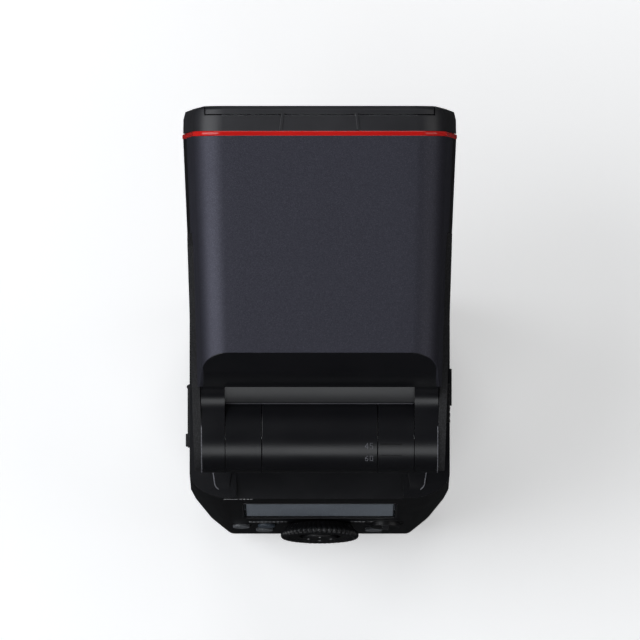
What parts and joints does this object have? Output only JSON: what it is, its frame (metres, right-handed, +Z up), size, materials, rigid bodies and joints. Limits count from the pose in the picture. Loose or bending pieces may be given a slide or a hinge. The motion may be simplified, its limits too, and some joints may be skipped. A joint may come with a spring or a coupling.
{
  "type": "camera speedlight flash",
  "caption": "Shoe-mount camera flash: control unit with tilted display panel, swivel turret and a rounded tilting head with a red ring behind the lens.",
  "frame": {"origin": "middle of the underside of the hot-shoe foot plate, which is also on the swivel axis", "axes": "+Z up out of the shoe, +Y the way the light leaves the head, +X to the right as seen from the control panel"},
  "size_m": [0.0848, 0.1369, 0.149],
  "materials": {
    "front_case": "fine-grained black moulding",
    "rear_case": "fine-grained black moulding",
    "top_deck": "fine-grained black moulding",
    "shoe_collar": "fine-grained black moulding",
    "foot_plate": "plain steel",
    "contact_block": "black",
    "case_screws": "plain steel",
    "lcd_window": "display window",
    "lcd_module": "display module",
    "main_board": "circuit board",
    "display_board": "circuit board",
    "main_capacitor": "sleeved can",
    "battery_pack": "battery case",
    "af_assist_window": "dark red, see-through",
    "modelling_lamp": "frosted",
    "sensor_window": "smoked",
    "sync_terminal": "plain steel",
    "bracket_insert": "plain steel",
    "swivel_click_ring": "plain steel",
    "door_hinge_pin": "plain steel",
    "dial_encoder": "black",
    "contact_pins": "gold-plated",
    "lock_lever": "black",
    "locking_pin": "plain steel",
    "lock_button": "plain steel",
    "select_dial": "black",
    "joystick_base": "black",
    "joystick_gimbal": "plain steel",
    "joystick_cap": "black",
    "mode_button": "dark grey, satin",
    "menu_button": "dark grey, satin",
    "wireless_button": "dark grey, satin",
    "test_button": "dark grey, satin",
    "power_switch": "black",
    "battery_door": "fine-grained black moulding",
    "battery_latch": "black",
    "terminal_cover": "textured rubber",
    "turret_base": "fine-grained black moulding",
    "turret_spindle": "plain steel",
    "tilt_shaft": "plain steel",
    "tilt_click_disc": "plain steel",
    "head_upper_shell": "dark grey metallic paint with fine sparkle",
    "head_lower_shell": "fine-grained black moulding",
    "hinge_cover": "fine-grained black moulding",
    "hinge_barrel": "fine-grained black moulding",
    "barrel_bushings": "plain steel",
    "side_grips": "textured rubber",
    "tilt_release": "black",
    "accent_ring": "glossy red",
    "front_bezel": "fine-grained black moulding",
    "fresnel_lens": "ribbed clear plastic",
    "head_chassis": "sheet",
    "zoom_motor": "plain steel",
    "reflector": "polished sheet",
    "flash_tube": "glass tube",
    "lead_screw": "gold-plated",
    "fan_housing": "black",
    "fan_rotor": "black",
    "wide_panel": "milky",
    "catchlight_panel": "white"
  },
  "bodies": {
    "control_unit": {"front_case": "front_case", "rear_case": "rear_case", "top_deck": "top_deck", "shoe_collar": "shoe_collar", "foot_plate": "foot_plate", "contact_block": "contact_block", "case_screws": "case_screws", "lcd_window": "lcd_window", "lcd_module": "lcd_module", "main_board": "main_board", "display_board": "display_board", "main_capacitor": "main_capacitor", "battery_pack": "battery_pack", "af_assist_window": "af_assist_window", "modelling_lamp": "modelling_lamp", "sensor_window": "sensor_window", "sync_terminal": "sync_terminal", "bracket_insert": "bracket_insert", "swivel_click_ring": "swivel_click_ring", "door_hinge_pin": "door_hinge_pin", "dial_encoder": "dial_encoder"},
    "contact_pins": {"contact_pins": "contact_pins"},
    "locking_pin": {"locking_pin": "locking_pin"},
    "lock_lever": {"lock_lever": "lock_lever"},
    "lock_button": {"lock_button": "lock_button"},
    "select_dial": {"select_dial": "select_dial"},
    "joystick_base": {"joystick_base": "joystick_base"},
    "joystick_gimbal": {"joystick_gimbal": "joystick_gimbal"},
    "joystick_cap": {"joystick_cap": "joystick_cap"},
    "mode_button": {"mode_button": "mode_button"},
    "menu_button": {"menu_button": "menu_button"},
    "wireless_button": {"wireless_button": "wireless_button"},
    "test_button": {"test_button": "test_button"},
    "power_switch": {"power_switch": "power_switch"},
    "battery_door": {"battery_door": "battery_door"},
    "battery_latch": {"battery_latch": "battery_latch"},
    "terminal_cover": {"terminal_cover": "terminal_cover"},
    "turret": {"turret_base": "turret_base", "turret_spindle": "turret_spindle", "tilt_shaft": "tilt_shaft", "tilt_click_disc": "tilt_click_disc"},
    "head": {"head_upper_shell": "head_upper_shell", "head_lower_shell": "head_lower_shell", "hinge_cover": "hinge_cover", "hinge_barrel": "hinge_barrel", "barrel_bushings": "barrel_bushings", "side_grips": "side_grips", "accent_ring": "accent_ring", "front_bezel": "front_bezel", "fresnel_lens": "fresnel_lens", "head_chassis": "head_chassis", "zoom_motor": "zoom_motor", "fan_housing": "fan_housing"},
    "tilt_release": {"tilt_release": "tilt_release"},
    "zoom_carriage": {"reflector": "reflector", "flash_tube": "flash_tube"},
    "lead_screw": {"lead_screw": "lead_screw"},
    "fan_rotor": {"fan_rotor": "fan_rotor"},
    "wide_panel": {"wide_panel": "wide_panel"},
    "catchlight_panel": {"catchlight_panel": "catchlight_panel"}
  },
  "joints": [
    {"name": "turret_swivel", "type": "hinge", "parent": "control_unit", "child": "turret", "pos_m": [0, 0, 0.0865], "axis": [0, 0, 1], "range_deg": [-180, 180]},
    {"name": "head_tilt", "type": "hinge", "parent": "turret", "child": "head", "pos_m": [0, -0.017, 0.107], "axis": [1, 0, 0], "range_deg": [-7, 120]},
    {"name": "tilt_release_press", "type": "slide", "parent": "head", "child": "tilt_release", "axis": [-1, 0, 0], "range_m": [0, 0.0008], "stiffness_N_per_m": 1200},
    {"name": "zoom_travel", "type": "slide", "parent": "head", "child": "zoom_carriage", "axis": [0, -1, 0], "range_m": [0, 0.028]},
    {"name": "lead_screw_turn", "type": "hinge", "parent": "head", "child": "lead_screw", "pos_m": [-0.026, 0.02, 0.1018], "axis": [0, 1, 0], "range_deg": [0, 2530]},
    {"name": "fan_spin", "type": "hinge", "parent": "head", "child": "fan_rotor", "pos_m": [0.015, 0.003, 0.1188], "axis": [0, 1, 0], "continuous": true},
    {"name": "wide_panel_slide", "type": "slide", "parent": "head", "child": "wide_panel", "axis": [0, 1, 0], "range_m": [0, 0.042]},
    {"name": "catchlight_slide", "type": "slide", "parent": "head", "child": "catchlight_panel", "axis": [0, 1, 0], "range_m": [0, 0.038]},
    {"name": "battery_door_open", "type": "hinge", "parent": "control_unit", "child": "battery_door", "pos_m": [0.04005, 0, 0.0173], "axis": [0, 1, 0], "range_deg": [0, 90]},
    {"name": "battery_latch_slide", "type": "slide", "parent": "battery_door", "child": "battery_latch", "axis": [0, 0, -1], "range_m": [0, 0.0038], "stiffness_N_per_m": 150},
    {"name": "terminal_cover_open", "type": "hinge", "parent": "control_unit", "child": "terminal_cover", "pos_m": [-0.0411, -0.0039, 0.054], "axis": [0, 0, -1], "range_deg": [0, 100]},
    {"name": "lock_lever_turn", "type": "hinge", "parent": "control_unit", "child": "lock_lever", "pos_m": [0, 0, 0.0084], "axis": [0, 0, 1], "range_deg": [0, 60]},
    {"name": "lock_button_press", "type": "slide", "parent": "lock_lever", "child": "lock_button", "axis": [0, 1, 0], "range_m": [0, 0.001], "stiffness_N_per_m": 800},
    {"name": "locking_pin_drop", "type": "slide", "parent": "control_unit", "child": "locking_pin", "axis": [0, 0, -1], "range_m": [0, 0.0013]},
    {"name": "contact_pins_press", "type": "slide", "parent": "control_unit", "child": "contact_pins", "axis": [0, 0, 1], "range_m": [0, 0.0005], "stiffness_N_per_m": 900},
    {"name": "select_dial_turn", "type": "hinge", "parent": "control_unit", "child": "select_dial", "pos_m": [0, -0.04762, 0.03206], "axis": [0, -0.9857, 0.1685], "continuous": true},
    {"name": "joystick_press", "type": "slide", "parent": "control_unit", "child": "joystick_base", "axis": [0, 0.9857, -0.1685], "range_m": [0, 0.0004], "stiffness_N_per_m": 1500},
    {"name": "joystick_rock", "type": "hinge", "parent": "joystick_base", "child": "joystick_gimbal", "pos_m": [0, -0.04516, 0.03164], "axis": [1, 0, 0], "range_deg": [-5, 5], "stiffness_Nm_per_rad": 0.03},
    {"name": "joystick_roll", "type": "hinge", "parent": "joystick_gimbal", "child": "joystick_cap", "pos_m": [0, -0.04516, 0.03164], "axis": [0, 0.1685, 0.9857], "range_deg": [-5, 5], "stiffness_Nm_per_rad": 0.03},
    {"name": "mode_button_press", "type": "slide", "parent": "control_unit", "child": "mode_button", "axis": [0, 0.9857, -0.1685], "range_m": [0, 0.0005], "stiffness_N_per_m": 600},
    {"name": "menu_button_press", "type": "slide", "parent": "control_unit", "child": "menu_button", "axis": [0, 0.9857, -0.1685], "range_m": [0, 0.0005], "stiffness_N_per_m": 600},
    {"name": "wireless_button_press", "type": "slide", "parent": "control_unit", "child": "wireless_button", "axis": [0, 0.9857, -0.1685], "range_m": [0, 0.0005], "stiffness_N_per_m": 600},
    {"name": "test_button_press", "type": "slide", "parent": "control_unit", "child": "test_button", "axis": [0, 0.9857, -0.1685], "range_m": [0, 0.0005], "stiffness_N_per_m": 600},
    {"name": "power_switch_turn", "type": "hinge", "parent": "control_unit", "child": "power_switch", "pos_m": [0.0208, -0.04718, 0.03462], "axis": [0, -0.9857, 0.1685], "range_deg": [-30, 30]}
  ],
  "couplings": [
    {"joint": "locking_pin_drop", "follows": "lock_lever_turn", "m_per_rad": 0.0011459},
    {"joint": "lead_screw_turn", "follows": "zoom_travel", "rad_per_m": 1570.8}
  ]
}
